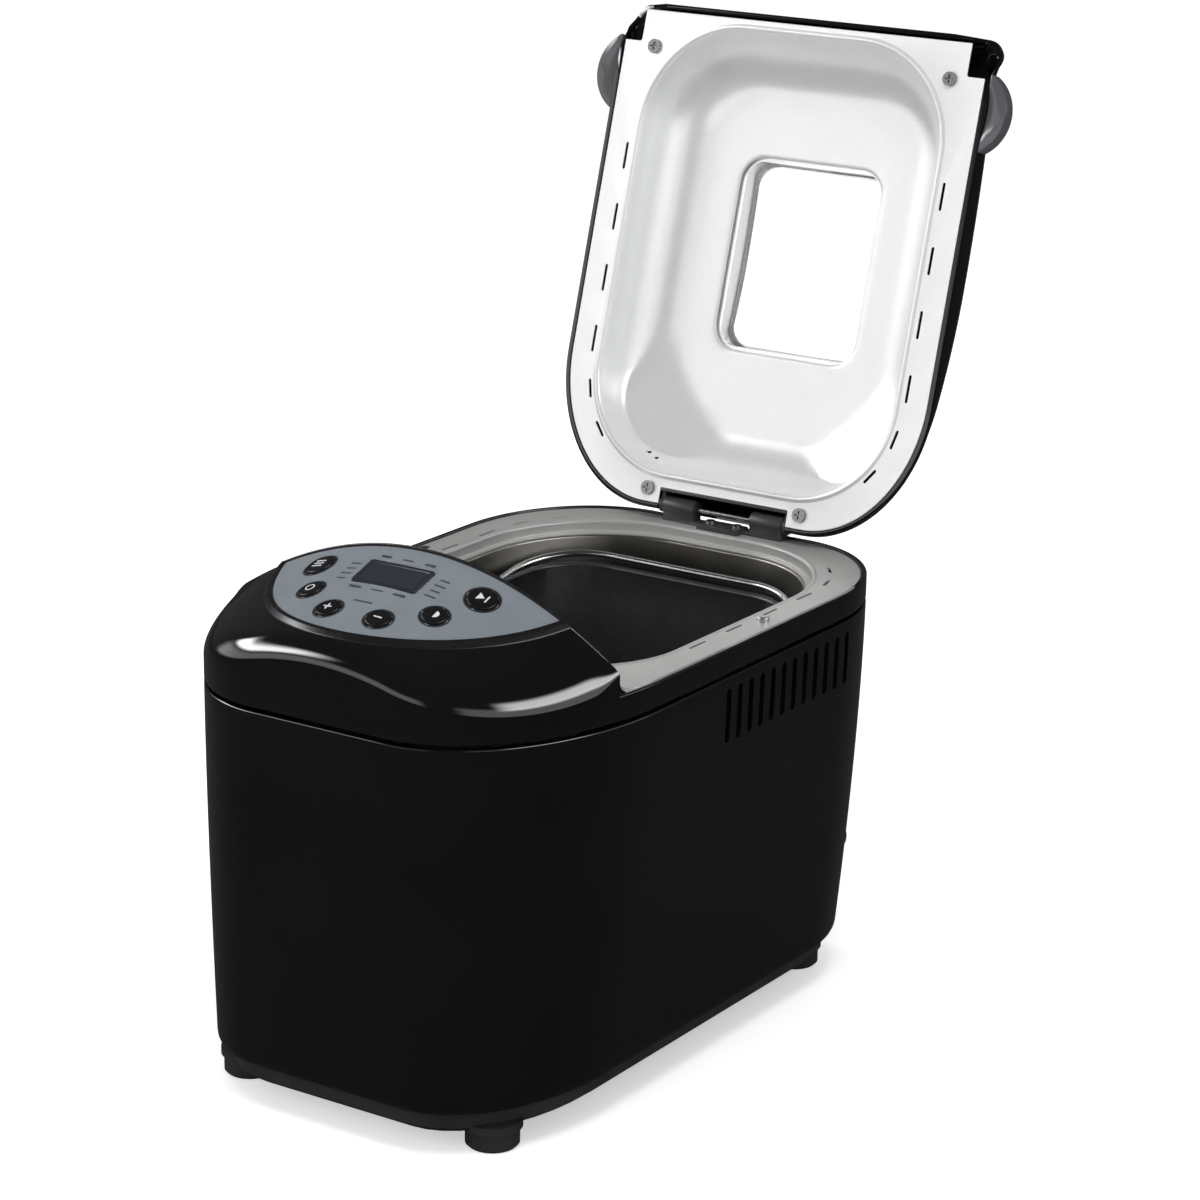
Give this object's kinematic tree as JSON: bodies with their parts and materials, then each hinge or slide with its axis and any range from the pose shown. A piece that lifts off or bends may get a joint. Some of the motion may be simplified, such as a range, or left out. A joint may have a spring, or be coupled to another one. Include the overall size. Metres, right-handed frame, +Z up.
{
  "type": "bread machine",
  "caption": "Countertop bread machine with a hinged window lid, sloping control panel, lift-out pan with a bail handle, and a belt-driven kneading paddle.",
  "frame": {"origin": "on the table under the middle of the machine with its lid open: halfway between the side walls and halfway between the front wall and the open lid's back", "axes": "+Z up, +Y towards the back (the hinge side), +X to the right as seen from the front"},
  "size_m": [0.258, 0.4836, 0.4964],
  "materials": {
    "black_gloss": "high gloss, moulded",
    "black_matte": "fine matte texture",
    "panel_silver": "metallic silver lacquer, satin",
    "button_black": "satin gloss",
    "display_glass": "clear lens over a dark display",
    "board_green": "circuit board lacquer",
    "grip_grey": "smoky grey, glossy",
    "nonstick": "speckled non-stick coating",
    "nonstick_cast": "non-stick coating on a casting",
    "aluminium_sheet": "pressed sheet, satin",
    "aluminium_cast": "die-cast",
    "steel_plated": "zinc-plated sheet",
    "steel_oven": "heat-stained sheet",
    "steel_bright": "polished",
    "heater_sheath": "oxidised tube",
    "ceramic": "glazed ceramic",
    "rubber_black": "matte rubber",
    "rubber_seal": "silicone",
    "sintered_bronze": "sintered, oiled",
    "copper_winding": "enamelled winding",
    "pulley_nylon": "glass-filled nylon",
    "hinge_grey": "grey moulding, satin",
    "window_glass": "clear heat-resisting glass"
  },
  "bodies": {
    "housing": {"lower_shell": "black_gloss", "base_plate": "black_matte", "rubber_feet": "rubber_black", "base_screws": "steel_plated", "cord_gland": "rubber_black", "top_cover": "black_gloss", "control_panel": "panel_silver", "display_window": "display_glass", "display_module": "board_green", "circuit_board": "board_green", "power_board": "board_green", "deck_flange": "aluminium_sheet", "lid_bumpers": "rubber_seal", "oven_chamber": "steel_oven", "heat_shield": "steel_plated", "heating_element": "heater_sheath", "heater_bushings": "ceramic", "temperature_sensor": "steel_bright", "pan_socket": "aluminium_cast", "pan_clips": "steel_bright", "drive_frame": "aluminium_cast", "frame_screws": "steel_plated", "shaft_bushes": "sintered_bronze", "motor_stator": "steel_plated", "motor_coils": "copper_winding", "motor_brackets": "aluminium_cast", "drive_belt": "rubber_black", "hinge_bracket": "hinge_grey", "hinge_screws": "steel_plated"},
    "lid": {"lid_shell": "black_gloss", "lid_liner": "aluminium_sheet", "lid_grips": "grip_grey", "window_frame": "aluminium_sheet", "outer_window": "window_glass", "inner_window": "window_glass", "lid_screws": "steel_plated", "hinge_frame": "hinge_grey", "hinge_pin": "steel_bright"},
    "motor_rotor": {"motor_rotor": "steel_plated", "motor_pulley": "pulley_nylon"},
    "drive": {"drive_shaft": "steel_bright", "large_pulley": "pulley_nylon", "drive_coupling": "aluminium_cast", "shaft_clip": "steel_plated"},
    "pan": {"bread_pan": "nonstick", "pan_base": "aluminium_cast", "pan_bush": "sintered_bronze", "pan_seal": "rubber_seal", "bail_ears": "steel_plated"},
    "bail": {"bail_handle": "steel_bright"},
    "pan_drive": {"pan_shaft": "steel_bright", "pan_coupling": "aluminium_cast"},
    "paddle": {"kneading_paddle": "nonstick_cast"},
    "button_program": {"button_program": "button_black"},
    "button_weight": {"button_weight": "button_black"},
    "button_plus": {"button_plus": "button_black"},
    "button_minus": {"button_minus": "button_black"},
    "button_colour": {"button_colour": "button_black"},
    "button_start": {"button_start": "button_black"}
  },
  "joints": [
    {"name": "lid_hinge", "type": "hinge", "parent": "housing", "child": "lid", "pos_m": [0, 0.125, 0.232], "axis": [-1, 0, 0], "range_deg": [-106.3, 0]},
    {"name": "motor_spin", "type": "hinge", "parent": "housing", "child": "motor_rotor", "pos_m": [0, -0.186, 0.06], "axis": [0, 0, 1], "continuous": true},
    {"name": "drive_spin", "type": "hinge", "parent": "housing", "child": "drive", "pos_m": [0, -0.0125, 0.05], "axis": [0, 0, 1], "continuous": true},
    {"name": "pan_lift", "type": "slide", "parent": "housing", "child": "pan", "axis": [0, 0, 1], "range_m": [0, 0.2]},
    {"name": "bail_swing", "type": "hinge", "parent": "pan", "child": "bail", "pos_m": [0, -0.0125, 0.196], "axis": [1, 0, 0], "range_deg": [0, 160]},
    {"name": "pan_drive_spin", "type": "hinge", "parent": "pan", "child": "pan_drive", "pos_m": [0, -0.0125, 0.08], "axis": [0, 0, 1], "continuous": true},
    {"name": "paddle_lift", "type": "slide", "parent": "pan_drive", "child": "paddle", "axis": [0, 0, 1], "range_m": [0, 0.03]},
    {"name": "button_program_press", "type": "slide", "parent": "housing", "child": "button_program", "axis": [-0.2652, -0.3145, 0.9115], "range_m": [-0.0012, 0], "stiffness_N_per_m": 250},
    {"name": "button_weight_press", "type": "slide", "parent": "housing", "child": "button_weight", "axis": [-0.2043, -0.3193, 0.9254], "range_m": [-0.0012, 0], "stiffness_N_per_m": 250},
    {"name": "button_plus_press", "type": "slide", "parent": "housing", "child": "button_plus", "axis": [-0.0837, -0.325, 0.942], "range_m": [-0.0012, 0], "stiffness_N_per_m": 250},
    {"name": "button_minus_press", "type": "slide", "parent": "housing", "child": "button_minus", "axis": [0.0837, -0.325, 0.942], "range_m": [-0.0012, 0], "stiffness_N_per_m": 250},
    {"name": "button_colour_press", "type": "slide", "parent": "housing", "child": "button_colour", "axis": [0.2043, -0.3193, 0.9254], "range_m": [-0.0012, 0], "stiffness_N_per_m": 250},
    {"name": "button_start_press", "type": "slide", "parent": "housing", "child": "button_start", "axis": [0.2652, -0.3145, 0.9115], "range_m": [-0.0012, 0], "stiffness_N_per_m": 250}
  ],
  "couplings": [
    {"joint": "drive_spin", "follows": "motor_spin", "ratio": 0.1607},
    {"joint": "pan_drive_spin", "follows": "motor_spin", "ratio": 0.1607}
  ]
}
